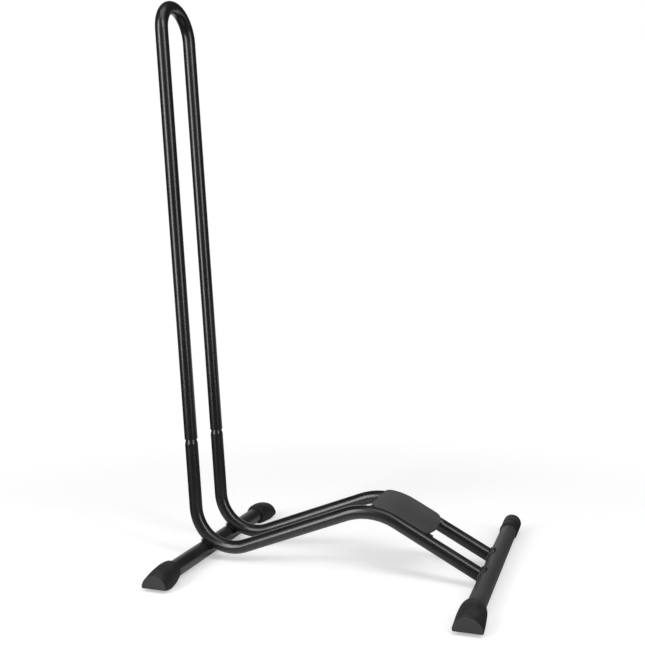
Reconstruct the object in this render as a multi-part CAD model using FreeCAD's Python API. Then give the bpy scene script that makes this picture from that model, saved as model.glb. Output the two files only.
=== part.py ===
import FreeCAD, Part
import math
import os

# Floor rack for one bicycle wheel. Millimetres, +Z up, +X towards the rear cross tube,
# the rack's left side at -Y. The origin is on the floor in the middle plane, where a
# parked wheel's tyre comes down between the rails.

os.makedirs("parts", exist_ok=True)

# hoop and rail tube
RAIL_R = 8.0              # outside radius
RAIL_WALL = 1.2
TRACK = 70.0              # between the two side planes, tube centre to tube centre

# hoop, which leans towards the front and lifts off two spigots
LEAN = 3.14               # degrees from upright
SEAM_X = -141.1           # leg centre at the seam
SEAM_Z = 148.7
HOOP_LEG = 504.0          # straight leg, from its end to the start of the top bend
SPIGOT_R = 6.73           # runs inside the hoop's leg with 0.07 all round
SPIGOT_LENGTH = 42.0
SHOULDER = 5.0            # length of the cone from the spigot to the full tube
SEAM_GAP = 0.3            # between the hoop's end and the top of the cone

# side rail: corners of its centreline in X and Z before the bends round them; the
# front one lies on the leg's axis, so only its height is given
FRONT_CORNER_Z = -3.4
HUMP_CORNER = (90.6, 82.1)
REAR_END = (225.1, 9.4)
FRONT_BEND = 48.5
HUMP_BEND = 75.0

# cross tubes
CROSS_R = 10.0
CROSS_WALL = 1.5
CROSS_Z = 11.5            # height of both axes above the floor
FRONT_HALF = 143.0        # half length of the front tube
REAR_HALF = 153.0
REAR_X = 225.1
SADDLE_BITE = 0.6         # how deep the rail beds into the front cross tube

# weld beads
BEAD = 2.8                # how far a bead spreads over each tube

# D-shaped foot; its socket takes the tube to a stop
FOOT_LENGTH = 40.0
SOCKET = 24.0             # length of tube inside the foot
SOCKET_PLAY = 0.3         # between the tube's end and the stop
SOLE_TRIM = 0.5           # lofted below the floor and then cut off, so the sole is flat

# round cap on the right end of the rear cross tube
CAP_MOUTH = 142.0
CAP_END = 188.0
CAP_R = CROSS_Z           # so that it rests on the floor

# plate lying across both rails, from the hump down the rear slope
PLATE_T = 2.0
PLATE_WIDTH = 75.0
PLATE_LIFT = 0.05         # between the rails and the plate's underside
PLATE_FRONT_TURN = 26.0   # degrees of the hump's bend that the plate covers
PLATE_SLOPE = 43.0        # length of its straight rear part
PLATE_CORNER = 8.0
PLATE_BOW = 5.0           # how far the rear edge bulges in the middle
PLATE_BEAD = 1.8


def vec(x, y, z):
    return FreeCAD.Vector(x, y, z)


def lean_axis():
    a = math.radians(LEAN)
    return vec(-math.sin(a), 0, math.cos(a))


def leg_point(along, y):
    """Point on a leg's centreline, a distance above the seam."""
    return vec(SEAM_X, y, SEAM_Z) + lean_axis() * along


def rounded_path(points, radii):
    """Wire through the points with an arc of the given radius at each inner corner."""
    edges = []
    start = points[0]
    for i, radius in enumerate(radii, start=1):
        corner = points[i]
        back = (points[i - 1] - corner).normalize()
        ahead = (points[i + 1] - corner).normalize()
        half = back.getAngle(ahead) / 2
        reach = radius / math.tan(half)
        a = corner + back * reach
        b = corner + ahead * reach
        middle = (back + ahead).normalize()
        centre = corner + middle * (radius / math.sin(half))
        top = centre - middle * radius
        edges.append(Part.LineSegment(start, a).toShape())
        edges.append(Part.Arc(a, top, b).toShape())
        start = b
    edges.append(Part.LineSegment(start, points[-1]).toShape())
    return Part.Wire(edges)


def pipe(path, radius):
    """Round bar of the given radius along a wire."""
    first = path.Edges[0]
    start = first.valueAt(first.FirstParameter)
    direction = first.tangentAt(first.FirstParameter)
    ring = Part.Wire(Part.Circle(start, direction, radius).toShape())
    return path.makePipeShell([ring], True, False)


def cross_bar(x, radius, y0, y1):
    return Part.makeCylinder(radius, y1 - y0, vec(x, y0, CROSS_Z), vec(0, 1, 0))


def rail_path(y, overrun):
    """Rail centreline; the overrun carries it past the rear cross tube's axis."""
    corner = leg_point((FRONT_CORNER_Z - SEAM_Z) / lean_axis().z, y)
    hump = vec(HUMP_CORNER[0], y, HUMP_CORNER[1])
    end = vec(REAR_END[0], y, REAR_END[1])
    tail = (end - hump).normalize()
    top = leg_point(-SEAM_GAP - SHOULDER, y)
    return rounded_path([top, corner, hump, end + tail * overrun], [FRONT_BEND, HUMP_BEND])


def bend_centre():
    """Centre of the front bend, in X and Z."""
    path = rail_path(0, 0)
    centre = path.Edges[1].Curve.Center
    return centre.x, centre.z


def front_x():
    """The front cross tube sits under the front bend, outside its arc."""
    cx, cz = bend_centre()
    reach = FRONT_BEND + RAIL_R + CROSS_R - SADDLE_BITE
    return cx - math.sqrt(reach ** 2 - (cz - CROSS_Z) ** 2)


def upper_hoop():
    up = lean_axis()
    half = TRACK / 2
    left = leg_point(0, -half)
    right = leg_point(0, half)
    arc = Part.Arc(left + up * HOOP_LEG, leg_point(HOOP_LEG + half, 0), right + up * HOOP_LEG)
    path = Part.Wire([
        Part.LineSegment(left, left + up * HOOP_LEG).toShape(),
        arc.toShape(),
        Part.LineSegment(right + up * HOOP_LEG, right).toShape(),
    ])
    outer = pipe(path, RAIL_R)
    ends = [e for e in outer.Edges if abs((e.CenterOfMass - left).dot(up)) < 0.01]
    outer = outer.makeFillet(0.9, ends)
    return outer.cut(pipe(path, RAIL_R - RAIL_WALL))


def rail(y):
    """Bent rail with a swaged spigot at its top and a coped end at the rear."""
    up = lean_axis()
    path = rail_path(y, 6.0)
    neck = leg_point(-SEAM_GAP - SHOULDER, y)
    cone = Part.makeCone(RAIL_R, SPIGOT_R, SHOULDER, neck, up)
    stub = Part.makeCylinder(SPIGOT_R, SPIGOT_LENGTH - 1.5, neck + up * SHOULDER, up)
    lead = Part.makeCone(SPIGOT_R, SPIGOT_R - 0.8, 1.5, neck + up * (SHOULDER + SPIGOT_LENGTH - 1.5), up)
    body = pipe(path, RAIL_R).fuse([cone, stub, lead])
    inner_cone = Part.makeCone(RAIL_R - RAIL_WALL, SPIGOT_R - RAIL_WALL, SHOULDER, neck, up)
    inner_stub = Part.makeCylinder(SPIGOT_R - RAIL_WALL, SPIGOT_LENGTH + 1, neck + up * SHOULDER, up)
    hollow = pipe(path, RAIL_R - RAIL_WALL).fuse([inner_cone, inner_stub])
    coped = body.cut(hollow).cut(cross_bar(REAR_X, CROSS_R, y - 30, y + 30))
    return max(coped.Solids, key=lambda solid: solid.Volume)


def front_cross_tube():
    x = front_x()
    tube = cross_bar(x, CROSS_R, -FRONT_HALF, FRONT_HALF)
    tube = tube.cut(cross_bar(x, CROSS_R - CROSS_WALL, -FRONT_HALF - 1, FRONT_HALF + 1))
    for side in (-1, 1):
        tube = tube.cut(pipe(rail_path(side * TRACK / 2, 0), RAIL_R))
    return tube


def rear_cross_tube():
    tube = cross_bar(REAR_X, CROSS_R, -REAR_HALF, REAR_HALF)
    return tube.cut(cross_bar(REAR_X, CROSS_R - CROSS_WALL, -REAR_HALF - 1, REAR_HALF + 1))


def front_weld(y):
    """Bead filling the nip between the rail's bend and the front cross tube."""
    x = front_x()
    path = rail_path(y, 0)
    bead = pipe(path, RAIL_R + BEAD).common(cross_bar(x, CROSS_R + BEAD, y - 20, y + 20))
    return bead.cut(pipe(path, RAIL_R)).cut(cross_bar(x, CROSS_R, y - 25, y + 25))


def rear_weld(y):
    """Ring-shaped bead around the coped end of a rail."""
    end = vec(REAR_END[0], y, REAR_END[1])
    hump = vec(HUMP_CORNER[0], y, HUMP_CORNER[1])
    back = (hump - end).normalize()
    collar = Part.makeCylinder(RAIL_R + BEAD, 30, end, back)
    bead = collar.common(cross_bar(REAR_X, CROSS_R + BEAD, y - 20, y + 20))
    bead = bead.cut(Part.makeCylinder(RAIL_R, 40, end - back * 5, back))
    return bead.cut(cross_bar(REAR_X, CROSS_R, y - 25, y + 25))


def slab(low, high, width):
    """Bent sheet between two heights above the rails' centrelines, over the hump."""
    path = rail_path(0, 0)
    bend = path.Edges[3]
    tail = path.Edges[4]
    centre = bend.Curve.Center
    join = tail.valueAt(tail.FirstParameter)
    along = tail.tangentAt(tail.FirstParameter)
    outward = (join - centre).normalize()
    turn = FreeCAD.Rotation(vec(0, 1, 0), -PLATE_FRONT_TURN)
    half_turn = FreeCAD.Rotation(vec(0, 1, 0), -PLATE_FRONT_TURN / 2)

    def offset_edges(height):
        radius = HUMP_BEND + height
        begin = centre + turn.multVec(outward) * radius
        middle = centre + half_turn.multVec(outward) * radius
        knee = centre + outward * radius
        end = knee + along * PLATE_SLOPE
        return begin, middle, knee, end

    b0, m0, k0, e0 = offset_edges(low)
    b1, m1, k1, e1 = offset_edges(high)
    outline = Part.Wire([
        Part.Arc(b0, m0, k0).toShape(),
        Part.LineSegment(k0, e0).toShape(),
        Part.LineSegment(e0, e1).toShape(),
        Part.LineSegment(e1, k1).toShape(),
        Part.Arc(k1, m1, b1).toShape(),
        Part.LineSegment(b1, b0).toShape(),
    ])
    face = Part.Face(outline)
    face.translate(vec(0, -width / 2, 0))
    return face.extrude(vec(0, width, 0))


def plate_plan(front, rear):
    """Upright prism over the plate's plan: rounded corners and a bowed rear edge."""
    tall = 200.0
    block = Part.makeBox(rear - front, PLATE_WIDTH, tall, vec(front, -PLATE_WIDTH / 2, -20))
    bow_r = ((PLATE_WIDTH / 2) ** 2 + PLATE_BOW ** 2) / (2 * PLATE_BOW)
    bow = Part.makeCylinder(bow_r, tall + 20, vec(rear - bow_r, 0, -30), vec(0, 0, 1))
    block = block.common(bow)
    corners = [e for e in block.Edges
               if abs(e.Length - tall) < 0.01 and abs(abs(e.CenterOfMass.y) - PLATE_WIDTH / 2) < 0.01]
    return block.makeFillet(PLATE_CORNER, corners)


def wheel_plate():
    """Bent sheet welded across the rails, trimmed to its plan."""
    low = RAIL_R + PLATE_LIFT
    sheet = slab(low, low + PLATE_T, PLATE_WIDTH + 10)
    box = sheet.BoundBox
    return sheet.common(plate_plan(box.XMin + PLATE_T, box.XMax - PLATE_T))


def plate_weld(side):
    """Bead in the corner between a rail's inner side and the plate's underside."""
    low = RAIL_R + PLATE_LIFT
    y = side * TRACK / 2
    strip = slab(low - PLATE_BEAD * 2.2, low, TRACK - 2 * 1.5)
    strip = strip.common(Part.makeBox(400, RAIL_R + PLATE_BEAD, 300,
                                      vec(-100, min(y, y - side * (RAIL_R + PLATE_BEAD)), 0)))
    bar = pipe(rail_path(y, 0), RAIL_R + PLATE_BEAD)
    return strip.common(bar).cut(pipe(rail_path(y, 0), RAIL_R))


def foot_section(x, y, lift, sole, shoulder, shoulder_z, height):
    """D-shaped outline with a flat underside, standing in a plane of constant Y."""
    a = vec(x - sole, y, lift)
    b = vec(x + sole, y, lift)
    c = vec(x + shoulder, y, shoulder_z)
    top = vec(x, y, height)
    d = vec(x - shoulder, y, shoulder_z)
    return Part.Wire([
        Part.LineSegment(a, b).toShape(),
        Part.LineSegment(b, c).toShape(),
        Part.Arc(c, top, d).toShape(),
        Part.LineSegment(d, a).toShape(),
    ])


# foot sections from the mouth to the toe: distance from the mouth, height of the
# underside, half width of the underside, half width of the shoulder, height of the
# shoulder, height of the dome
FOOT_SECTIONS = [
    (0.0, -SOLE_TRIM, 6.8, 12.4, 9.5, 24.0),
    (1.5, -SOLE_TRIM, 7.8, 13.3, 9.0, 24.8),
    (6.0, -SOLE_TRIM, 9.4, 13.8, 8.2, 25.2),
    (14.0, -SOLE_TRIM, 11.1, 14.4, 7.2, 25.0),
    (22.0, -SOLE_TRIM, 12.6, 15.0, 6.4, 24.0),
    (26.0, 0.4, 13.4, 15.2, 6.2, 23.3),
    (33.0, 2.0, 14.4, 15.5, 6.4, 21.6),
    (FOOT_LENGTH - 1.0, 3.8, 15.4, 15.7, 7.0, 19.7),
    (FOOT_LENGTH, 4.7, 14.5, 14.8, 7.2, 18.8),
]


def foot(x, side, tube_half):
    """Moulded foot on a cross tube's end; side is -1 for the left and +1 for the right."""
    mouth = tube_half - SOCKET
    outlines = [foot_section(x, side * (mouth + out), *numbers) for out, *numbers in FOOT_SECTIONS]
    body = Part.makeLoft(outlines, True, True).removeSplitter()
    start, toe = sorted((side * (mouth - 5), side * (mouth + FOOT_LENGTH + 5)))
    under_floor = Part.makeBox(60, toe - start, 5, vec(x - 30, start, -5))
    start, stop = sorted((side * (mouth - 5), side * (tube_half + SOCKET_PLAY)))
    return body.cut(under_floor).cut(cross_bar(x, CROSS_R, start, stop))


def rear_right_cap():
    """Round cap turned about the rear cross tube's axis, with a groove and a domed end."""
    def at(radius, y):
        return vec(REAR_X + radius, y, CROSS_Z)
    lip = CAP_MOUTH + 1.0
    groove = CAP_MOUTH + 20.0
    stop = REAR_HALF + SOCKET_PLAY
    outline = [
        at(CROSS_R, CAP_MOUTH), at(CAP_R - 0.6, CAP_MOUTH), at(CAP_R, lip),
        at(CAP_R, groove), at(CAP_R - 0.9, groove + 0.6), at(CAP_R - 0.9, groove + 2.2),
        at(CAP_R, groove + 2.8), at(CAP_R, CAP_END - 3.0), at(CAP_R - 0.9, CAP_END - 0.9),
        at(CAP_R - 3.0, CAP_END), at(0, CAP_END), at(0, stop), at(CROSS_R, stop),
    ]
    face = Part.Face(Part.makePolygon(outline + [outline[0]]))
    return face.revolve(at(0, 0), vec(0, 1, 0), 360)


def write(name, shape):
    solids = shape.Solids
    print(name, "solids", len(solids), "faces", len(shape.Faces),
          "volume", round(shape.Volume, 1), "valid", shape.isValid())
    single = solids[0] if len(solids) == 1 else shape
    single.exportStep("parts/%s.step" % name)


write("upper_hoop", upper_hoop())
write("front_cross_tube", front_cross_tube())
write("rear_cross_tube", rear_cross_tube())
for side_name, side_sign in (("left", -1), ("right", 1)):
    plane = side_sign * TRACK / 2
    write(side_name + "_rail", rail(plane))
    write("front_%s_weld" % side_name, front_weld(plane))
    write("rear_%s_weld" % side_name, rear_weld(plane))
    write("front_%s_foot" % side_name, foot(front_x(), side_sign, FRONT_HALF))
    write("plate_%s_weld" % side_name, plate_weld(side_sign))
write("wheel_plate", wheel_plate())
write("rear_left_foot", foot(REAR_X, -1, REAR_HALF))
write("rear_right_cap", rear_right_cap())
print("front cross tube at X", round(front_x(), 2))
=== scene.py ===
# %% [markdown]
# # A floor bike rack
#
# The rack is bent steel tube: a tall upside-down U that plugs onto two side rails,
# a small plate across the rails, and two cross tubes that stand on rubber ends.
# The exact solids were made in CAD and arrive here as fixed pieces. This lesson adds
# what CAD leaves out: the rippled weld beads, the soft moulded feet, the black
# powder coat with its wear, and the studio that shows it all.
#
# Everything is in metres in the CAD's own frame. +X runs to the rear cross tube, +Z
# is up, and the origin is on the floor in the middle plane between the rails.

import math

import bpy
import numpy as np
from mathutils import Matrix, Vector


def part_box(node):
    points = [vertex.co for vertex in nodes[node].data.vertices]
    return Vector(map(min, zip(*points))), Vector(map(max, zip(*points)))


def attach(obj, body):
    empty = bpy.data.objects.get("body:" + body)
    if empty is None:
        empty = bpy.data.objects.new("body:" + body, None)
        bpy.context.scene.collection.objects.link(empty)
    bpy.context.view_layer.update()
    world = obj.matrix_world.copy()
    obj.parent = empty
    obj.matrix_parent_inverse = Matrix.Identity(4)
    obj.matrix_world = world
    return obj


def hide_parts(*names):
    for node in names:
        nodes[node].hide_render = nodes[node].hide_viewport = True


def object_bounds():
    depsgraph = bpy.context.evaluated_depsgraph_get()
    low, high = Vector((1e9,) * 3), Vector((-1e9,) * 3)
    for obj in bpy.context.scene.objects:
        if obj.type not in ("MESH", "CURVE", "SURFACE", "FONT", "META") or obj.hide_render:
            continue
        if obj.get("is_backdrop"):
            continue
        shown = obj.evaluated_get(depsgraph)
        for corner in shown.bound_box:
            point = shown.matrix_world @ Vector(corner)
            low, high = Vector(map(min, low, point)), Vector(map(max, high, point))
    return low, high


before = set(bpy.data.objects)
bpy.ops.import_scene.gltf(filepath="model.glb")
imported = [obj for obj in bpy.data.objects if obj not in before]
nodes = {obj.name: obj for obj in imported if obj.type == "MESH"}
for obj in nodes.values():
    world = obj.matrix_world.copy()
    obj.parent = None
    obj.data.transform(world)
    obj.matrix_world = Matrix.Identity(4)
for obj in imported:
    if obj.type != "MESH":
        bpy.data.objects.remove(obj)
size_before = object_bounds()
print("CAD pieces:", ", ".join(sorted(nodes)))
print("size in mm:", [round(1000 * (b - a)) for a, b in zip(*size_before)])

# %% [markdown]
# ## Measures from the CAD pieces
#
# A scene that copies numbers out of the CAD goes wrong the first time a tube moves.
# So the places that the new pieces need are read from the boxes of the solids they
# touch, and only what a box can't tell is written down.

# %% Driving measures
MM = 0.001
RAIL_RADIUS = 8.0 * MM
GRIP = 0.1 * MM  # how far a rubber end squeezes into the tube that it grips
SHARP_ANGLE = math.radians(50)  # edges that turn by more than this stay crisp


def middle(node):
    """Centre of a CAD node's box as a numpy vector."""
    low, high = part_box(node)
    return (np.array(low) + np.array(high)) / 2


def reach(node):
    """Full size of a CAD node's box along x, y and z."""
    low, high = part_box(node)
    return np.array(high) - np.array(low)


rear_axis = middle("rear_cross_tube")
CROSS_RADIUS = reach("rear_cross_tube")[2] / 2
track_half = abs(middle("left_rail")[1])
print("cross tube radius in mm:", round(CROSS_RADIUS / MM, 2))
print("rail planes at y in mm:", round(track_half / MM, 1))

# %% [markdown]
# ## Shader maths as plain Python
#
# A material is a sum of small effects: a base colour, a slow change of tone, dust on
# what faces up, a rub mark. Wiring each Math node by hand hides that sum. The class
# below wraps one output socket and overloads the usual operators, so `1 - mask * 0.4`
# adds the nodes by itself. Any other node comes from one method, which sets the
# node's own settings first and its sockets after that.

# %% A socket that does arithmetic, and the graph that makes nodes
MIX_FACTOR, MIX_COLOUR_A, MIX_COLOUR_B, MIX_COLOUR_OUT = 0, 6, 7, 2
FACING_UP = (0.35, 1.0)  # upward part of the normal from which dust starts to lie


class Value:
    """One output socket. Arithmetic on it adds a Math node and returns a new Value."""

    def __init__(self, graph, socket):
        self.graph = graph
        self.socket = socket

    def _math(self, operation, a, b):
        return self.graph.node("Math", {"operation": operation}, {0: a, 1: b})

    def __add__(self, other):
        return self._math("ADD", self, other)

    def __radd__(self, other):
        return self._math("ADD", other, self)

    def __sub__(self, other):
        return self._math("SUBTRACT", self, other)

    def __rsub__(self, other):
        return self._math("SUBTRACT", other, self)

    def __mul__(self, other):
        return self._math("MULTIPLY", self, other)

    def __rmul__(self, other):
        return self._math("MULTIPLY", other, self)

    def maximum(self, other):
        return self._math("MAXIMUM", self, other)

    def between(self, low, high):
        """0 below the low value, 1 above the high one, smooth in between."""
        return self.graph.node(
            "MapRange",
            {"interpolation_type": "SMOOTHSTEP"},
            {"Value": self, "From Min": low, "From Max": high},
        )


class Graph:
    """The node tree of a new material, or of the world, and the method that adds nodes."""

    def __init__(self, owner):
        owner.use_nodes = True
        self.tree = owner.node_tree
        self.tree.nodes.clear()

    def feed(self, socket, value):
        """A Value is linked to the socket; a number, vector or colour is set on it."""
        if isinstance(value, Value):
            self.tree.links.new(value.socket, socket)
        else:
            socket.default_value = value

    def node(self, kind, settings=None, sockets=None, output=0):
        """Adds ShaderNode + kind. Its own settings are set first, then its sockets."""
        made = self.tree.nodes.new("ShaderNode" + kind)
        for name, value in (settings or {}).items():
            setattr(made, name, value)
        for name, value in (sockets or {}).items():
            self.feed(made.inputs[name], value)
        return Value(self, made.outputs[output]) if len(made.outputs) else None

    def place(self):
        """The point on the piece, in metres in the CAD frame."""
        return self.node("TexCoord", output="Object")

    def noise(self, size, detail=2.0, stretch=None):
        """Noise from 0 to 1 whose blobs are about this wide, in metres, stretched if asked."""
        at = self.place()
        if stretch:
            at = self.node("Mapping", {"vector_type": "POINT"}, {"Vector": at, "Scale": stretch})
        return self.node("TexNoise", None, {"Vector": at, "Scale": 1 / size, "Detail": detail})

    def blend(self, factor, a, b):
        """Colour a where the factor is 0 and colour b where it is 1. A Mix node has
        sockets of the same name for each kind of data, so these go by their number."""
        sockets = {MIX_FACTOR: factor, MIX_COLOUR_A: a, MIX_COLOUR_B: b}
        return self.node("Mix", {"data_type": "RGBA"}, sockets, output=MIX_COLOUR_OUT)

    def facing_up(self):
        """1 on faces that look up, 0 on sides and undersides."""
        normal = self.node("NewGeometry", output="Normal")
        up = self.node("SeparateXYZ", None, {0: normal}, output="Z")
        return up.between(*FACING_UP)


def rgb(red, green, blue):
    """An opaque colour."""
    return (red, green, blue, 1.0)


def toned(colour, factor):
    """A darker or paler version of a colour."""
    return rgb(*(factor * part for part in colour))


print("shader helpers ready")

# %% [markdown]
# ## Black powder coat
#
# Powder coat is sprayed on dry and melted, so it never lies quite flat: it keeps a
# fine orange peel about a millimetre across. That peel breaks up the long
# reflections on the tubes, which is what tells the eye "coated steel" and not
# "plastic". It could be a texture image, but two layers of noise on the bump give it
# at its real size on every piece, with no seams where tubes meet.
#
# One recipe serves hoop, rails, cross tubes, plate and welds. Each gets its own
# colour, gloss and depth of peel. Dust is a pale veil on what faces up, broken up by
# a slow noise, and hairline scuffs are noise drawn out along one direction and cut
# off so that only its peaks remain.

# %% The powder coat recipe
TONE_SIZE = 60 * MM
GRAIN_SIZE = 0.5 * MM
PEEL_SIZE = 1.6 * MM
SCUFF_SIZE = 0.9 * MM
PATCH_SIZE = 35 * MM
DUSTY_PATCHES = (0.35, 0.75)  # levels of the slow noise between which dust fades in
SCUFF_PEAKS = (0.66, 0.74)
SCUFFED_PATCHES = (0.5, 0.72)
DUST = rgb(0.42, 0.4, 0.37)
BARE_RUB = rgb(0.16, 0.16, 0.165)


def powder_coat(
    name, colour, gloss, peel, shine, grit=0.05, dust=0.03, scuffs=0.25, along=(1, 1, 0.02)
):
    """Coated steel: gloss is the roughness, grit how much its grain changes that, peel
    the bump's depth in metres, shine the specular level, dust and scuffs how strong
    those are, and along squeezes the scuff noise on the axis that scuffs follow."""
    material = bpy.data.materials.new(name)
    graph = Graph(material)
    slow = graph.noise(TONE_SIZE, 3.0)
    grain = graph.noise(GRAIN_SIZE, 1.0)
    veil = graph.facing_up() * slow.between(*DUSTY_PATCHES) * dust
    lines = graph.noise(SCUFF_SIZE, 2.0, stretch=along).between(*SCUFF_PEAKS)
    patches = graph.noise(PATCH_SIZE, 2.0).between(*SCUFFED_PATCHES)
    scuff = lines * patches * scuffs

    red, green, blue = colour
    deep = toned(colour, 0.75)
    pale = rgb(red * 1.3, green * 1.3, blue * 1.32)
    coat = graph.blend(slow * 0.7 + grain * 0.3, deep, pale)
    dusty = graph.blend(veil, coat, DUST)
    worn = graph.blend(scuff, dusty, BARE_RUB)
    rough = gloss + (slow - 0.5) * 0.08 + (grain - 0.5) * grit + veil * 2.0 + scuff * 0.5

    coarse = graph.noise(PEEL_SIZE, 2.0)
    height = coarse + grain * 0.35 - scuff * 0.3
    bump = graph.node("Bump", None, {"Strength": 1.0, "Distance": peel, "Height": height})
    shader = graph.node(
        "BsdfPrincipled",
        None,
        {"Base Color": worn, "Roughness": rough, "Normal": bump, "Specular IOR Level": shine},
    )
    graph.node("OutputMaterial", None, {"Surface": shader})
    return material


print("the recipe's peel is", round(PEEL_SIZE / MM, 1), "mm across")

# %% [markdown]
# The hoop and rails have the smoothest, glossiest coat, and no grain in its gloss,
# because grain would break their long reflections into specks. The front tube shows a
# dark body with a soft pale edge, the rear one an even dark grey, so they get two
# coats of their own. The plate carries the most scuffs.

# %% The coats
gloss_black = powder_coat(
    "gloss black powder coat",
    (0.005, 0.005, 0.0055),
    0.28,
    0.012 * MM,
    0.48,
    grit=0.0,
    scuffs=0.15,
)
satin_black = powder_coat(
    "satin black powder coat",
    (0.028, 0.028, 0.029),
    0.46,
    0.14 * MM,
    0.22,
    dust=0.04,
    along=(1, 0.02, 1),
)
front_black = powder_coat(
    "front tube powder coat",
    (0.009, 0.009, 0.0095),
    0.34,
    0.06 * MM,
    0.42,
    grit=0.02,
    along=(1, 0.02, 1),
)
plate_black = powder_coat(
    "plate powder coat",
    (0.034, 0.034, 0.036),
    0.5,
    0.08 * MM,
    0.22,
    dust=0.06,
    scuffs=0.7,
    along=(0.03, 1, 1),
)
weld_black = powder_coat(
    "coated weld",
    (0.008, 0.008, 0.009),
    0.26,
    0.12 * MM,
    0.4,
    scuffs=0.1,
)
for coat in (gloss_black, satin_black, front_black, plate_black, weld_black):
    print("coat:", coat.name)

# %% [markdown]
# ## Moulded rubber
#
# The feet are soft black rubber with the fine, even grain of a matte mould and no
# gloss, greyer where dust has settled and where the rubber has rubbed on the floor.
# A voronoi pattern gives the small cells of such a mould, and noise under it keeps
# the cells from looking printed. The flat toe faces get a paler copy of the rubber,
# which is painted light: the lit look of the toe faces and a painted highlight on their rims.
# The strip on the round cap looks a little darker and gets a rubber of its own.

# %% The rubber
RUBBER_TONE_SIZE = 18 * MM
MOULD_CELL = 0.8 * MM
MOULD_GRAIN = 0.35 * MM
MOULD_DEPTH = 0.08 * MM
RUBBED_UP_TO = (0.4 * MM, 2.6 * MM)  # height over which the floor's rub fades out
RUBBER_DUST = (0.3, 0.7)
RUBBER_RUBS = (0.35, 0.65)
FLOOR_DUST = rgb(0.36, 0.35, 0.33)


def moulded_rubber(name, colour, roughness):
    """Matte black rubber with a fine mould grain, dust on top and rubbed lower edges."""
    material = bpy.data.materials.new(name)
    graph = Graph(material)
    slow = graph.noise(RUBBER_TONE_SIZE, 3.0)
    cells = graph.node("TexVoronoi", None, {"Vector": graph.place(), "Scale": 1 / MOULD_CELL})
    grain = graph.noise(MOULD_GRAIN, 1.0)
    veil = graph.facing_up() * slow.between(*RUBBER_DUST) * 0.04
    above_floor = graph.node("SeparateXYZ", None, {0: graph.place()}, output="Z")
    rubbed = (1 - above_floor.between(*RUBBED_UP_TO)) * slow.between(*RUBBER_RUBS) * 0.35

    rubber = graph.blend(slow * 0.6 + cells * 0.4, toned(colour, 0.7), toned(colour, 1.35))
    dusty = graph.blend(veil + rubbed * 0.4, rubber, FLOOR_DUST)
    rough = roughness + (slow - 0.5) * 0.15 + (grain - 0.5) * 0.1 + rubbed * 0.2
    height = cells * 0.6 + grain * 0.5
    bump = graph.node("Bump", None, {"Strength": 1.0, "Distance": MOULD_DEPTH, "Height": height})
    shader = graph.node(
        "BsdfPrincipled",
        None,
        {"Base Color": dusty, "Roughness": rough, "Normal": bump, "Specular IOR Level": 0.15},
    )
    graph.node("OutputMaterial", None, {"Surface": shader})
    return material


foot_rubber = moulded_rubber("foot rubber", (0.011, 0.011, 0.0115), 0.6)
# A paler copy of the foot rubber: painted light on the toe faces and a painted highlight on
# their rims.
toe_painted_light_rubber = moulded_rubber("toe face painted light rubber", (0.028, 0.028, 0.029), 0.7)
band_rubber = moulded_rubber("dark rubber band", (0.008, 0.008, 0.009), 0.55)
print("rubber:", foot_rubber.name, "|", toe_painted_light_rubber.name, "|", band_rubber.name)

# %% [markdown]
# ## Dressing the CAD tubes
#
# The tubes and the plate have their true shape already, and their normals come from
# the exact surfaces, so they only change coat. Setting the material on the mesh's
# slots leaves the geometry alone.

# %% Coats on the CAD pieces
coats = {
    "upper_hoop": gloss_black,
    "left_rail": gloss_black,
    "right_rail": gloss_black,
    "front_cross_tube": front_black,
    "rear_cross_tube": satin_black,
    "wheel_plate": plate_black,
}


def dress(piece, material):
    """Every material slot of the piece gets this one material."""
    piece.data.materials.clear()
    piece.data.materials.append(material)


for name, coat in coats.items():
    dress(nodes[name], coat)
print("dressed", len(coats), "CAD pieces")

# %% [markdown]
# ## From a grid of points to a mesh
#
# Each new piece is a function of two parameters: one goes along the piece, the other
# round it. Numpy works out all points at once as an array of rows and columns, and
# this helper joins neighbours into four-sided faces. A grid can close on itself in
# either direction, so a ring needs no seam.

# %% The grid helper


def grid_faces(rows, columns, close_rows, close_columns):
    """Corner numbers of the quads between neighbouring grid points, as one array."""
    i = np.arange(rows if close_rows else rows - 1)[:, None]
    j = np.arange(columns if close_columns else columns - 1)[None, :]
    i2, j2 = (i + 1) % rows, (j + 1) % columns
    corners = [i * columns + j, i2 * columns + j, i2 * columns + j2, i * columns + j2]
    return np.stack([np.broadcast_to(c, (i.size, j.size)) for c in corners], -1).reshape(-1, 4)


def make_piece(name, points, faces, material):
    """A smooth shaded object from an array of points and a list of faces."""
    mesh = bpy.data.meshes.new(name)
    mesh.from_pydata(points.reshape(-1, 3).tolist(), [], faces)
    mesh.polygons.foreach_set("use_smooth", np.ones(len(mesh.polygons), bool))
    mesh.materials.append(material)
    mesh.update()
    piece = bpy.data.objects.new(name, mesh)
    bpy.context.collection.objects.link(piece)
    return piece


print("a ring of 4 by 3 points has", len(grid_faces(4, 3, True, True)), "faces")

# %% [markdown]
# ## Rippled weld beads
#
# Where a rail's end meets the rear cross tube the welder lays a bead right round it,
# one small puddle after another. The CAD shows that bead as a plain collar. Here it
# becomes a cord of weld metal with a ripple for every puddle.
#
# The bead follows the line where the rail's cylinder runs into the cross tube's, and
# that line is exact algebra: go round the rail by an angle, then slide along the
# rail's axis until the point is one cross tube radius from the cross tube's axis.
# The slide is the root of a quadratic, so the whole line comes out of one formula.
# The cord then stands a little outside that line, so that it shows as a raised bead.

# %% The bead as a cord round a closed line
BEAD_RADIUS = 2.5 * MM
BEAD_PROUD = 0.9 * MM
PUDDLE = 2.8 * MM
BEAD_STEPS = 240
BEAD_SIDES = 18
RIPPLE_LOW = 0.92
RIPPLE_RISE = 0.16
RIPPLE_LEAN = 0.35


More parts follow.
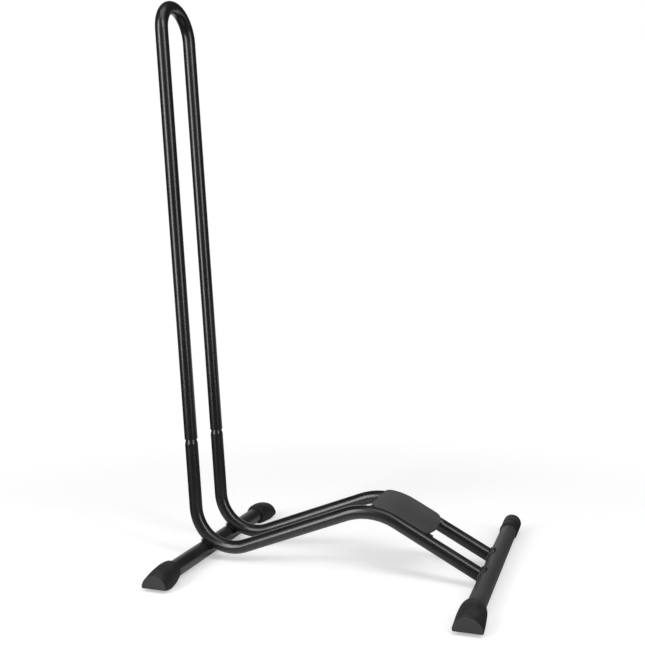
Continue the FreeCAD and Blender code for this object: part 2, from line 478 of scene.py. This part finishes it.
def rippled_cord(line, outward, radius, puddle):
    """Cord round a closed line. Each cross section is a circle, whose radius follows
    the size of a sine of the way along, from a twelfth under the given radius to a
    twelfth over it, once every puddle length. The crest of each ripple leans ahead
    on the side that faces outward."""
    ahead = np.roll(line, -1, 0) - np.roll(line, 1, 0)
    ahead /= np.linalg.norm(ahead, axis=1, keepdims=True)
    side = outward - (outward * ahead).sum(1, keepdims=True) * ahead
    side /= np.linalg.norm(side, axis=1, keepdims=True)
    across = np.cross(ahead, side)
    steps = np.linalg.norm(np.diff(line, axis=0, append=line[:1]), axis=1)
    way = np.concatenate([[0], np.cumsum(steps)[:-1]])
    total = steps.sum()
    count = max(2, round(total / puddle))
    around = np.linspace(0, 2 * math.pi, BEAD_SIDES, endpoint=False)
    lean = RIPPLE_LEAN * np.cos(around)[None, :]
    phase = math.pi * count * way[:, None] / total + lean
    swell = radius * (RIPPLE_LOW + RIPPLE_RISE * np.abs(np.sin(phase)))
    return (
        line[:, None, :]
        + swell[..., None] * np.cos(around)[None, :, None] * side[:, None, :]
        + swell[..., None] * np.sin(around)[None, :, None] * across[:, None, :]
    )


def outward_faces(piece):
    """Turns the faces of a closed piece outwards where the grid ran the other way. Each
    triangle and the origin span a small volume, and their sum is negative if the faces
    point inwards."""
    mesh = piece.data
    mesh.calc_loop_triangles()
    corners = np.zeros(len(mesh.vertices) * 3)
    mesh.vertices.foreach_get("co", corners)
    triangles = np.zeros(len(mesh.loop_triangles) * 3, np.int32)
    mesh.loop_triangles.foreach_get("vertices", triangles)
    a, b, c = corners.reshape(-1, 3)[triangles.reshape(-1, 3)].transpose(1, 0, 2)
    if (a * np.cross(b, c)).sum() < 0:
        mesh.flip_normals()
    return piece


print("bead cord ready,", BEAD_STEPS, "steps by", BEAD_SIDES, "sides")

# %% [markdown]
# The line itself needs the rail's slope where it comes down to the cross tube. The
# CAD draws that straight from the corner over the hump to the cross tube, so the same
# two corners give it here.

# %% Where the rail meets the rear cross tube
HUMP_CORNER = np.array([90.6, 0, 82.1]) * MM
RAIL_END = np.array([225.1, 0, 9.4]) * MM
Y_AXIS = np.array([0.0, 1.0, 0.0])
IN_XZ = np.array([1, 0, 1])


def cope_line(y):
    """Closed line where a cylinder of the rail's radius runs into the cross tube.
    For an angle round the rail, the point is end + slide * back + radius * spoke. Its
    distance from the cross tube's axis in XZ equals the cross tube's radius, which
    makes slide the larger root of a quadratic."""
    back = HUMP_CORNER - RAIL_END
    back = back / np.linalg.norm(back)
    rise = np.cross(back, Y_AXIS)
    angle = np.linspace(0, 2 * math.pi, BEAD_STEPS, endpoint=False)[:, None]
    spoke = np.cos(angle) * rise + np.sin(angle) * Y_AXIS
    start = RAIL_END + RAIL_RADIUS * spoke - rear_axis * IN_XZ
    half_b = start[:, 0] * back[0] + start[:, 2] * back[2]
    c = start[:, 0] ** 2 + start[:, 2] ** 2 - CROSS_RADIUS**2
    slide = -half_b + np.sqrt(np.maximum(half_b**2 - c, 0))
    line = RAIL_END + RAIL_RADIUS * spoke + slide[:, None] * back
    line[:, 1] += y
    return line, spoke


ring = grid_faces(BEAD_STEPS, BEAD_SIDES, True, True).tolist()
for side, y in (("left", -track_half), ("right", track_half)):
    line, spoke = cope_line(y)
    line = line + BEAD_PROUD * spoke
    cord = rippled_cord(line, spoke, BEAD_RADIUS, PUDDLE)
    bead = make_piece(f"rear_{side}_bead", cord, ring, weld_black)
    outward_faces(bead)
    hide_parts(f"rear_{side}_weld")
    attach(bead, "base")
    length = np.linalg.norm(np.diff(line, axis=0), axis=1).sum()
    print(bead.name, "runs round", round(length / MM), "mm")

# %% [markdown]
# ## The small welds stay CAD solids
#
# The front beads sit in the nip between a bend and a tube, and the plate's beads run
# along its underside. Both are mostly hidden, and their solids already fill the
# corners. They keep their shape and only get the coated weld finish.

# %% Coats on the remaining welds
small_welds = ("front_left_weld", "front_right_weld", "plate_left_weld", "plate_right_weld")
for name in small_welds:
    dress(nodes[name], weld_black)
print("coated", len(small_welds), "small welds")

# %% [markdown]
# ## The moulded feet
#
# A foot is a soft block that grips the tube in a round mouth, stands on a flat sole
# and turns up a little at its toe. It could be cut from a cube with a subdivision
# surface, but then its width and height would only be roughly right. Instead every
# cross section is one closed D: a flat underside, a short straight side and a round
# back. Five numbers describe a D, and each number changes smoothly along the foot:
# how far the underside lifts, half its width, half the width at the shoulder, the
# shoulder's height and the height of the back.

# %% The foot's numbers, from its mouth to its toe
FOOT_LENGTH = 40.0 * MM
STATION = np.array([0.0, 1.5, 6.0, 14.0, 22.0, 26.0, 33.0, 40.0]) * MM
LIFT = np.array([0.0, 0.0, 0.0, 0.0, 0.0, 0.4, 2.0, 4.0]) * MM
SOLE_HALF = np.array([7.0, 8.0, 9.6, 11.3, 12.8, 13.4, 14.4, 15.5]) * MM
SHOULDER_HALF = np.array([12.4, 13.3, 13.8, 14.4, 15.0, 15.2, 15.5, 15.7]) * MM
SHOULDER_Z = np.array([9.5, 9.0, 8.2, 7.2, 6.4, 6.2, 6.4, 7.0]) * MM
BACK_Z = np.array([24.0, 24.8, 25.2, 25.0, 24.0, 23.3, 21.6, 19.4]) * MM
FOOT_ROWS = 48
SOLE_STEPS, SIDE_STEPS, BACK_STEPS = 12, 6, 24
CORNER_PASSES = 2
AVERAGED = 3.0 * MM  # each side of a point, when the outline is smoothed
AVERAGE_WIDTH = 4.0 * MM
AVERAGE_SAMPLES = 13


def through_stations(values, at):
    """Straight between the stations, then averaged over a few millimetres, so that the
    outline flows without a kink at any station."""
    spread = np.linspace(-AVERAGED, AVERAGED, AVERAGE_SAMPLES)
    weight = 1 - (spread / AVERAGE_WIDTH) ** 2
    samples = np.interp(np.clip(at[:, None] + spread, 0, FOOT_LENGTH), STATION, values)
    return ((samples * weight).sum(1) / weight.sum())[:, None]


def d_section(lift, sole, shoulder, shoulder_z, back_z):
    """Closed D for each row: out along the underside, up the side, then round an arc of
    a circle that passes through the shoulder and the top, and the mirror image back.
    Half of each point plus a quarter of each neighbour rounds the corners."""
    out = np.linspace(0, 1, SOLE_STEPS, endpoint=False)
    rise = np.linspace(0, 1, SIDE_STEPS, endpoint=False)
    sagitta = back_z - shoulder_z
    radius = (shoulder**2 + sagitta**2) / (2 * sagitta)
    centre_z = back_z - radius
    first = np.arctan2(shoulder_z - centre_z, shoulder)
    angle = first + (math.pi / 2 - first) * np.linspace(0, 1, BACK_STEPS + 1)
    side_x = sole + (shoulder - sole) * rise
    side_z = lift + (shoulder_z - lift) * rise
    x = np.concatenate([sole * out, side_x, radius * np.cos(angle)], 1)
    z = np.concatenate([lift + 0 * out, side_z, centre_z + radius * np.sin(angle)], 1)
    x = np.concatenate([x, -x[:, -2:0:-1]], 1)
    z = np.concatenate([z, z[:, -2:0:-1]], 1)
    for _ in range(CORNER_PASSES):
        x = 0.25 * np.roll(x, 1, 1) + 0.5 * x + 0.25 * np.roll(x, -1, 1)
        z = 0.25 * np.roll(z, 1, 1) + 0.5 * z + 0.25 * np.roll(z, -1, 1)
    return x, z


way = np.linspace(0, FOOT_LENGTH, FOOT_ROWS)
numbers = (LIFT, SOLE_HALF, SHOULDER_HALF, SHOULDER_Z, BACK_Z)
foot_x, foot_z = d_section(*(through_stations(values, way) for values in numbers))
print("foot is", round(2 * foot_x.max() / MM, 1), "mm wide")
print("foot is", round(foot_z.max() / MM, 1), "mm high")

# %% [markdown]
# A moulded part has no knife edges. Where the outline ends, at the mouth and at the
# toe, it is shrunk towards its heart while it moves through a quarter circle, which
# gives a rounded rim. The mouth then folds in onto the tube and the toe closes flat.
# The toe's face and the outer half of its rim take the paler rubber, which shows the
# D at the end of each foot: painted light on the face and a painted highlight on the rim.

# %% Close the foot with rounded rims
ROUNDED = 1.2 * MM
RIM_STEPS = 6
SOCKET = 24.0 * MM
TOE_RINGS = np.array([0.8, 0.55, 0.3])[:, None]  # parts of the toe face's outline


def shrunk(x, z, heart_z, inset):
    """Outline moved towards its heart by an inset: each point goes along its own ray."""
    ray = np.hypot(x, z - heart_z)
    scale = 1 - inset / ray
    return x * scale, heart_z + (z - heart_z) * scale


def make_foot(name, axis_x, side, mouth):
    """One foot: socket, mouth rim, body, toe rim and toe face, as rows of one grid."""
    turn = np.linspace(0, math.pi / 2, RIM_STEPS)[:, None]
    axis_z = rear_axis[2]
    body = (way > ROUNDED) & (way < FOOT_LENGTH - ROUNDED)
    first_x, first_z = foot_x[0][None], foot_z[0][None]
    last_x, last_z = foot_x[-1][None], foot_z[-1][None]
    toe_heart = (last_z.max() + last_z.min()) / 2

    bore = np.hypot(first_x, first_z - axis_z) - (CROSS_RADIUS - GRIP)
    socket_x, socket_z = shrunk(first_x, first_z, axis_z, bore)
    rim_x, rim_z = shrunk(first_x, first_z, axis_z, ROUNDED * (1 - np.sin(turn)))
    toe_x, toe_z = shrunk(last_x, last_z, toe_heart, ROUNDED * (1 - np.cos(turn)))
    face_x = toe_x[-1] * TOE_RINGS
    face_z = toe_heart + (toe_z[-1] - toe_heart) * TOE_RINGS

    parts = (
        (socket_x, socket_z, np.array([[SOCKET]])),
        (socket_x, socket_z, np.array([[0.0]])),
        (rim_x, rim_z, ROUNDED * (1 - np.cos(turn))),
        (foot_x[body], foot_z[body], way[body][:, None]),
        (toe_x, toe_z, FOOT_LENGTH - ROUNDED + ROUNDED * np.sin(turn)),
        (face_x, face_z, np.full(TOE_RINGS.shape, FOOT_LENGTH)),
    )
    x = np.concatenate([part[0] for part in parts])
    z = np.concatenate([part[1] for part in parts])
    y = np.concatenate([np.broadcast_to(part[2], part[0].shape) for part in parts])
    points = np.stack([axis_x + x, side * (mouth + y), z], -1)
    rows, columns = x.shape
    faces = grid_faces(rows, columns, False, True).tolist()
    faces.append(list(range(columns)))
    faces.append([(rows - 1) * columns + k for k in range(columns)][::-1])
    foot = outward_faces(make_piece(name, points, faces, foot_rubber))
    # The second rubber is the paler copy: painted light on the toe face and a painted highlight
    # on its rim.
    foot.data.materials.append(toe_painted_light_rubber)
    number = np.arange(len(faces))
    socket_floor = len(faces) - 2
    first_on_toe = rows - len(TOE_RINGS) - RIM_STEPS // 2
    # These toe faces and rim rows take the paler rubber, which paints light and a highlight on
    # them.
    on_toe = (number // columns >= first_on_toe) & (number != socket_floor)
    foot.data.polygons.foreach_set("material_index", on_toe.astype(np.int32))
    foot.data.set_sharp_from_angle(angle=SHARP_ANGLE)
    return foot


feet = (("front_left_foot", -1), ("front_right_foot", 1), ("rear_left_foot", -1))
for node, side in feet:
    toe = max(abs(corner[1]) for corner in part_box(node))
    foot = make_foot(node + "_rubber", middle(node)[0], side, toe - FOOT_LENGTH)
    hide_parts(node)
    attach(foot, "base")
    print(foot.name, "ends", round(toe / MM, 1), "mm from the middle")

# %% [markdown]
# ## The round cap
#
# The rear tube's other end carries a plain round cap with two grooves, and the strip
# between them is darker. A cap is a turned shape: one profile of radius against
# distance, carried round the tube's axis. Each groove is the same four corners at
# another place, so a small function makes it, and the end is a quarter circle.

# %% The cap's profile
CAP_SOCKET = 11.0 * MM
LIP_CHAMFER = 0.8 * MM
LIP_MIDDLE = 0.3 * MM
LIP_END = 1.0 * MM
GROOVE_DEPTH = 1.3 * MM
GROOVE_SLOPE = 0.4 * MM
MOUTH_GROOVE = (2.0 * MM, 5.0 * MM)
END_GROOVE = (18.5 * MM, 21.7 * MM)
STRIP_SUNK = 0.2 * MM
END_ROUND = 3.2 * MM
END_STEPS = 9
CROWN_RINGS = (0.45, 0.1)  # parts of the cap's radius
cap_low, cap_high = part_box("rear_right_cap")
cap_mouth, cap_end = cap_low[1], cap_high[1]
cap_length = cap_end - cap_mouth
cap_radius = (cap_high[0] - cap_low[0]) / 2
cap_bore = CROSS_RADIUS - GRIP
strip_radius = cap_radius - STRIP_SUNK


def groove(ends, before, after):
    """Down a short slope from the radius before it, along the floor, and up again to
    the radius after it, as pairs of radius and distance from the mouth."""
    start, stop = ends
    floor_radius = cap_radius - GROOVE_DEPTH
    return [
        (before, start),
        (floor_radius, start + GROOVE_SLOPE),
        (floor_radius, stop - GROOVE_SLOPE),
        (after, stop),
    ]


mouth_lip = [
    (cap_bore, CAP_SOCKET),
    (cap_bore, 0.0),
    (cap_radius - LIP_CHAMFER, 0.0),
    (strip_radius, LIP_MIDDLE),
    (cap_radius, LIP_END),
]
cap_profile = np.array(
    mouth_lip
    + groove(MOUTH_GROOVE, cap_radius, strip_radius)
    + groove(END_GROOVE, strip_radius, cap_radius)
)
bulge = np.linspace(0, math.pi / 2, END_STEPS)
rounded_end = np.stack(
    [
        cap_radius - END_ROUND + END_ROUND * np.cos(bulge),
        cap_length - END_ROUND + END_ROUND * np.sin(bulge),
    ],
    -1,
)
crown = np.array([(cap_radius * part, cap_length) for part in CROWN_RINGS])
cap_profile = np.concatenate([cap_profile, rounded_end, crown])
print("cap profile has", len(cap_profile), "corners")

# %% [markdown]
# Turning the profile is one outer product: radius times the cosine and sine of the
# angle round the axis. The rows from the first groove to the second, both included,
# take the darker rubber.

# %% Turn the cap
CAP_SIDES = 72
round_angle = np.linspace(0, 2 * math.pi, CAP_SIDES, endpoint=False)
cap_points = np.stack(
    [
        rear_axis[0] + cap_profile[:, :1] * np.cos(round_angle),
        np.broadcast_to(cap_mouth + cap_profile[:, 1:], (len(cap_profile), CAP_SIDES)),
        rear_axis[2] + cap_profile[:, :1] * np.sin(round_angle),
    ],
    -1,
)
cap_faces = grid_faces(len(cap_profile), CAP_SIDES, False, True).tolist()
cap_faces.append(list(range(CAP_SIDES)))
cap_faces.append([(len(cap_profile) - 1) * CAP_SIDES + k for k in range(CAP_SIDES)][::-1])
cap = outward_faces(make_piece("rear_right_cap_rubber", cap_points, cap_faces, foot_rubber))
cap.data.materials.append(band_rubber)
first_in_strip = len(mouth_lip)
last_in_strip = first_in_strip + 2 * len(groove(MOUTH_GROOVE, 0, 0)) - 2
row_of_face = np.arange(len(cap_faces)) // CAP_SIDES
in_strip = (row_of_face >= first_in_strip) & (row_of_face <= last_in_strip)
cap.data.polygons.foreach_set("material_index", in_strip.astype(np.int32))
cap.data.set_sharp_from_angle(angle=SHARP_ANGLE)
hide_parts("rear_right_cap")
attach(cap, "base")
print(cap.name, "is", round(cap_length / MM, 1), "mm long")

# %% [markdown]
# ## The studio
#
# The rack is black, so what it shows is mostly what it reflects. The floor is pale and
# matte, and fades to plain white away from the rack for the camera, as a paper sweep
# does. It stays a real floor near the rack, so it keeps the rack's shadow. Glossy
# rays see it go dark further out, except behind the rack where the sweep rises, so
# that the tubes keep dark valleys between their pale streaks. All distances are read
# from the floor's own coordinates, so nothing on it slides when the view turns.

# %% Floor
FLOOR_SIZE = 12.0
FLOOR_GAP = 0.3 * MM
FLOOR_FADE = (0.3, 0.8)
MIRROR_FADE = (0.07, 0.35)
SWEEP_RISE = (0.6, 1.4)
FLOOR_VEIL = 0.4
DARK_STUDIO = 0.06


def pale_floor():
    """Nearly white matte floor with a trace of grain, mixed with white for camera rays
    and with the dark or white studio for glossy and transmission rays."""
    material = bpy.data.materials.new("pale floor")
    graph = Graph(material)
    tone = graph.noise(0.4, 2.0)
    colour = graph.blend(tone, rgb(0.92, 0.92, 0.92), rgb(0.94, 0.94, 0.94))
    grain = graph.noise(2 * MM)
    bump = graph.node("Bump", None, {"Strength": 0.1, "Distance": 0.1 * MM, "Height": grain})
    shader = graph.node(
        "BsdfPrincipled",
        None,
        {"Base Color": colour, "Roughness": 0.9, "Normal": bump, "Specular IOR Level": 0.1},
    )
    camera_ray = graph.node("LightPath", output="Is Camera Ray")
    mirrored = graph.node("LightPath", output="Is Glossy Ray").maximum(
        graph.node("LightPath", output="Is Transmission Ray")
    )
    length = {"operation": "LENGTH"}
    from_rack = graph.node("VectorMath", length, {0: graph.place()}, output="Value")
    fade = from_rack.between(*FLOOR_FADE)
    sunk = from_rack.between(*MIRROR_FADE) * mirrored
    along_y = graph.node("SeparateXYZ", None, {0: graph.place()}, output="Y")
    behind = along_y.between(*SWEEP_RISE)
    white = graph.node("Emission", None, {"Color": rgb(1, 1, 1), "Strength": 1.0})
    dark = graph.node("Emission", None, {"Color": rgb(1, 1, 1), "Strength": DARK_STUDIO})
    bright = (FLOOR_VEIL + (1 - FLOOR_VEIL) * fade) * camera_ray
    swept = graph.node("MixShader", None, {0: sunk * (1 - behind), 1: shader, 2: dark})
    whitened = bright.maximum(sunk * behind)
    faded = graph.node("MixShader", None, {0: whitened, 1: swept, 2: white})
    graph.node("OutputMaterial", None, {"Surface": faded})
    return material


half = FLOOR_SIZE / 2
across_floor = [[-half, -half], [half, -half], [half, half], [-half, half]]
corners = np.array([[x, y, -FLOOR_GAP] for x, y in across_floor])
floor = make_piece("floor", corners, [[0, 1, 2, 3]], pale_floor())
floor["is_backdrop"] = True
print("floor is", FLOOR_SIZE, "m wide")

# %% [markdown]
# ## The camera
#
# The viewpoint was recovered from the photograph by matching the rack's long straight
# tubes: it stands about a metre away and about a third of a metre above the floor,
# looks down a little, and is turned towards the hoop. Written as a yaw, a pitch and a
# roll, the three numbers become the camera's own axes with two cross products.

# %% Camera
CAMERA_AT = np.array([364.3, -972.4, 352.3]) * MM
YAW = math.radians(-19.4)
PITCH = math.radians(-3.3)
ROLL = math.radians(-0.8)
LENS = 47.66
SENSOR = 36.0

level = math.cos(PITCH)
ahead = np.array([math.sin(YAW) * level, math.cos(YAW) * level, math.sin(PITCH)])
right = np.cross(ahead, [0, 0, 1])
right = right / np.linalg.norm(right)
up = np.cross(right, ahead)
rolled_right = math.cos(ROLL) * right + math.sin(ROLL) * up
rolled_up = math.cos(ROLL) * up - math.sin(ROLL) * right

camera_data = bpy.data.cameras.new("camera")
camera_data.lens = LENS
camera_data.sensor_width = SENSOR
camera = bpy.data.objects.new("camera", camera_data)
bpy.context.collection.objects.link(camera)
turn = Matrix([rolled_right, rolled_up, -ahead]).transposed()
camera.matrix_world = Matrix.Translation(Vector(CAMERA_AT)) @ turn.to_4x4()
bpy.context.scene.camera = camera
print("camera", round(float(np.linalg.norm(CAMERA_AT)), 2), "m from the origin")

# %% [markdown]
# ## The lamps
#
# Four area lamps stand for soft boxes. The tall ones left and right of the camera draw
# the long pale streaks on the hoop's legs. A wide one overhead lights the floor and
# the tops of the rails, and a small high one on the right is placed where the rails'
# rear slopes mirror it to the camera. Area lamps are used because a tube shows the
# shape of whatever lights it, and a point lamp would leave only a speck.

# %% Lamps
AIM = Vector((0.0, 0.0, 0.33))
# name: azimuth in degrees, distance, height, width, tallness in metres, power in watts
LAMPS = {
    "left soft box": (-31, 1.8, 0.9, 0.6, 1.8, 38),
    "right soft box": (66, 1.8, 0.98, 0.5, 1.6, 19),
    "top soft box": (20, 0.6, 2.3, 1.6, 1.2, 14),
    "slope soft box": (48, 1.36, 1.65, 0.7, 0.5, 8),
}


def soft_box(name, azimuth, distance, height, width, tall, watts):
    """Area lamp. Azimuth 0 stands on the camera's side (-Y), 90 towards +X; it is
    turned to look at the rack."""
    data = bpy.data.lights.new(name, "AREA")
    data.shape = "RECTANGLE"
    data.size = width
    data.size_y = tall
    data.energy = watts
    lamp = bpy.data.objects.new(name, data)
    bpy.context.collection.objects.link(lamp)
    a = math.radians(azimuth)
    place = Vector((math.sin(a) * distance, -math.cos(a) * distance, height))
    lamp.location = place
    lamp.rotation_euler = (AIM - place).to_track_quat("-Z", "Y").to_euler()
    return lamp


for name, numbers in LAMPS.items():
    lamp = soft_box(name, *numbers)
    print(name, "gives", lamp.data.energy, "W")

# %% [markdown]
# ## The world
#
# The world is white for the camera and a plain grey for diffuse light. Glossy and
# transmission rays see white only where a backdrop would hang, within a cone behind
# the rack, and a dark studio elsewhere.

# %% World
AMBIENT = 0.34
BACKDROP_EDGE = (math.cos(math.radians(32)), math.cos(math.radians(18)))

world = bpy.data.worlds.new("studio")
bpy.context.scene.world = world
air = Graph(world)
kinds = ("Camera", "Glossy", "Transmission")
rays = {kind: air.node("LightPath", output=f"Is {kind} Ray") for kind in kinds}
direction = air.node("TexCoord", output="Generated")
level_ahead = Vector((ahead[0], ahead[1], 0)).normalized()
dot = {"operation": "DOT_PRODUCT"}
towards = air.node("VectorMath", dot, {0: direction, 1: level_ahead}, output="Value")
backdrop = towards.between(*BACKDROP_EDGE)
mirrored = rays["Glossy"].maximum(rays["Transmission"])
seen = mirrored * (DARK_STUDIO + (1 - DARK_STUDIO) * backdrop)
plain = (1 - mirrored) * AMBIENT
strength = (seen + plain).maximum(rays["Camera"])
sky = air.node("Background", None, {"Color": rgb(1, 1, 1), "Strength": strength})
air.node("OutputWorld", None, {"Surface": sky})
bpy.context.scene.view_settings.view_transform = "Standard"
print("world: ambient", AMBIENT, "dark side", DARK_STUDIO)

# %% [markdown]
# ## Check and finish
#
# The visual model has to stay the size of the CAD model, so both boxes are kept.

# %% Finish
size_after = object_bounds()
before = np.array(size_before[1]) - np.array(size_before[0])
after = np.array(size_after[1]) - np.array(size_after[0])
print("growth in mm:", ((after - before) / MM).round(2).tolist())
